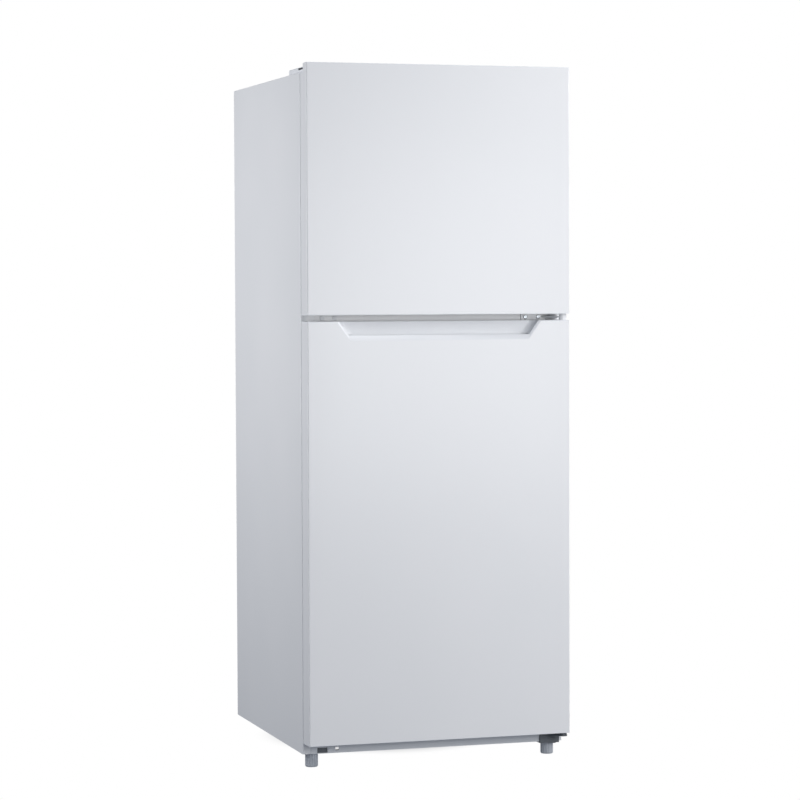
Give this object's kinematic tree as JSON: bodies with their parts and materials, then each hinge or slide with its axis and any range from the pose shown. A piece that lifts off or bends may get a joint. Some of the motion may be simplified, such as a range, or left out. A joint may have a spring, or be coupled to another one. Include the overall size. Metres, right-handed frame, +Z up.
{
  "type": "top freezer refrigerator",
  "caption": "Tall white two-door refrigerator with the freezer above, a recessed grip in the top of the lower door, glass shelves, crispers, door bins and a compressor bay.",
  "frame": {"origin": "on the floor, under the centre of the outline", "axes": "+X to the right as a person faces the doors, on the hinge side; +Y from the doors towards the wall; +Z up"},
  "size_m": [0.595, 0.662, 1.516],
  "materials": {
    "steel_white": "satin",
    "plastic_white": "satin",
    "liner_white": "gloss",
    "foam": "matte",
    "zinc_steel": "satin",
    "dark_steel": "satin",
    "black_steel": "satin",
    "seal_rubber": "matte",
    "black_rubber": "matte",
    "foot_plastic": "matte",
    "roller_plastic": "matte",
    "black_plastic": "matte",
    "clear_plastic": "gloss",
    "shelf_glass": "gloss",
    "copper": "satin",
    "aluminium": "satin",
    "grey_steel": "satin",
    "coated_wire": "gloss"
  },
  "bodies": {
    "cabinet": {"air_duct_cover": "plastic_white", "base_tray": "zinc_steel", "bottom_hinge": "dark_steel", "bottom_panel": "zinc_steel", "cabinet_foam": "foam", "compressor": "black_steel", "compressor_bolts": "zinc_steel", "compressor_grommets": "black_rubber", "condenser_coils": "black_steel", "control_box": "plastic_white", "cord_gland": "black_plastic", "drain_pan": "black_plastic", "drain_tube": "black_plastic", "evaporator": "aluminium", "fan_motor": "black_plastic", "filter_drier": "copper", "foot_brackets": "dark_steel", "freezer_air_cover": "plastic_white", "freezer_liner": "liner_white", "freezer_shelf": "coated_wire", "fridge_liner": "liner_white", "front_rail": "grey_steel", "glass_shelves": "shelf_glass", "hinge_hole_plugs": "plastic_white", "hinge_screws": "zinc_steel", "lamp_lens": "clear_plastic", "middle_hinge": "steel_white", "middle_strip": "steel_white", "outer_case": "steel_white", "rear_panel": "zinc_steel", "refrigerant_tubes": "copper", "shelf_trims": "plastic_white", "terminal_box": "black_plastic", "top_hinge": "grey_steel", "top_hinge_cover": "plastic_white", "top_left_cap": "plastic_white", "wall_stand_offs": "black_plastic"},
    "freezer_door": {"freezer_door_bins": "clear_plastic", "freezer_door_bottom_cap": "plastic_white", "freezer_door_foam": "foam", "freezer_door_gasket": "seal_rubber", "freezer_door_liner": "liner_white", "freezer_door_skin": "steel_white", "freezer_door_top_cap": "plastic_white"},
    "fridge_door": {"fridge_door_bins": "clear_plastic", "fridge_door_bottom_cap": "plastic_white", "fridge_door_foam": "foam", "fridge_door_gasket": "seal_rubber", "fridge_door_liner": "liner_white", "fridge_door_skin": "steel_white", "fridge_door_top_cap": "plastic_white"},
    "crisper_left": {"crisper_left": "clear_plastic"},
    "crisper_right": {"crisper_right": "clear_plastic"},
    "fan": {"fan_blade": "plastic_white"},
    "thermostat": {"thermostat_knob": "plastic_white"},
    "airflow": {"airflow_slider": "plastic_white"},
    "front_foot_left": {"front_foot_left": "foot_plastic"},
    "front_foot_right": {"front_foot_right": "foot_plastic"},
    "rear_roller_left": {"rear_roller_left": "roller_plastic"},
    "rear_roller_right": {"rear_roller_right": "roller_plastic"}
  },
  "joints": [
    {"name": "freezer_door_hinge", "type": "hinge", "parent": "cabinet", "child": "freezer_door", "pos_m": [0.2855, -0.319, 1.2475], "axis": [0, 0, 1], "range_deg": [0, 130]},
    {"name": "fridge_door_hinge", "type": "hinge", "parent": "cabinet", "child": "fridge_door", "pos_m": [0.2855, -0.319, 0.5105], "axis": [0, 0, 1], "range_deg": [0, 130]},
    {"name": "crisper_left_slide", "type": "slide", "parent": "cabinet", "child": "crisper_left", "axis": [0, -1, 0], "range_m": [0, 0.18]},
    {"name": "crisper_right_slide", "type": "slide", "parent": "cabinet", "child": "crisper_right", "axis": [0, -1, 0], "range_m": [0, 0.18]},
    {"name": "thermostat_dial", "type": "hinge", "parent": "cabinet", "child": "thermostat", "pos_m": [-0.046, -0.127, 0.912], "axis": [0, -1, 0], "range_deg": [-140, 140]},
    {"name": "airflow_slide", "type": "slide", "parent": "cabinet", "child": "airflow", "axis": [1, 0, 0], "range_m": [-0.014, 0.014]},
    {"name": "fan_spin", "type": "hinge", "parent": "cabinet", "child": "fan", "pos_m": [0, 0.199, 1.281], "axis": [0, -1, 0], "continuous": true},
    {"name": "foot_left_screw", "type": "slide", "parent": "cabinet", "child": "front_foot_left", "axis": [0, 0, 1], "range_m": [-0.012, 0]},
    {"name": "foot_right_screw", "type": "slide", "parent": "cabinet", "child": "front_foot_right", "axis": [0, 0, 1], "range_m": [-0.012, 0]},
    {"name": "roller_left_spin", "type": "hinge", "parent": "cabinet", "child": "rear_roller_left", "pos_m": [-0.2355, 0.267, 0.015], "axis": [1, 0, 0], "continuous": true},
    {"name": "roller_right_spin", "type": "hinge", "parent": "cabinet", "child": "rear_roller_right", "pos_m": [0.2355, 0.267, 0.015], "axis": [1, 0, 0], "continuous": true}
  ],
  "couplings": [
    {"joint": "crisper_left_slide", "follows": "fridge_door_hinge", "m_per_rad": 0.07933},
    {"joint": "crisper_right_slide", "follows": "fridge_door_hinge", "m_per_rad": 0.07933}
  ]
}
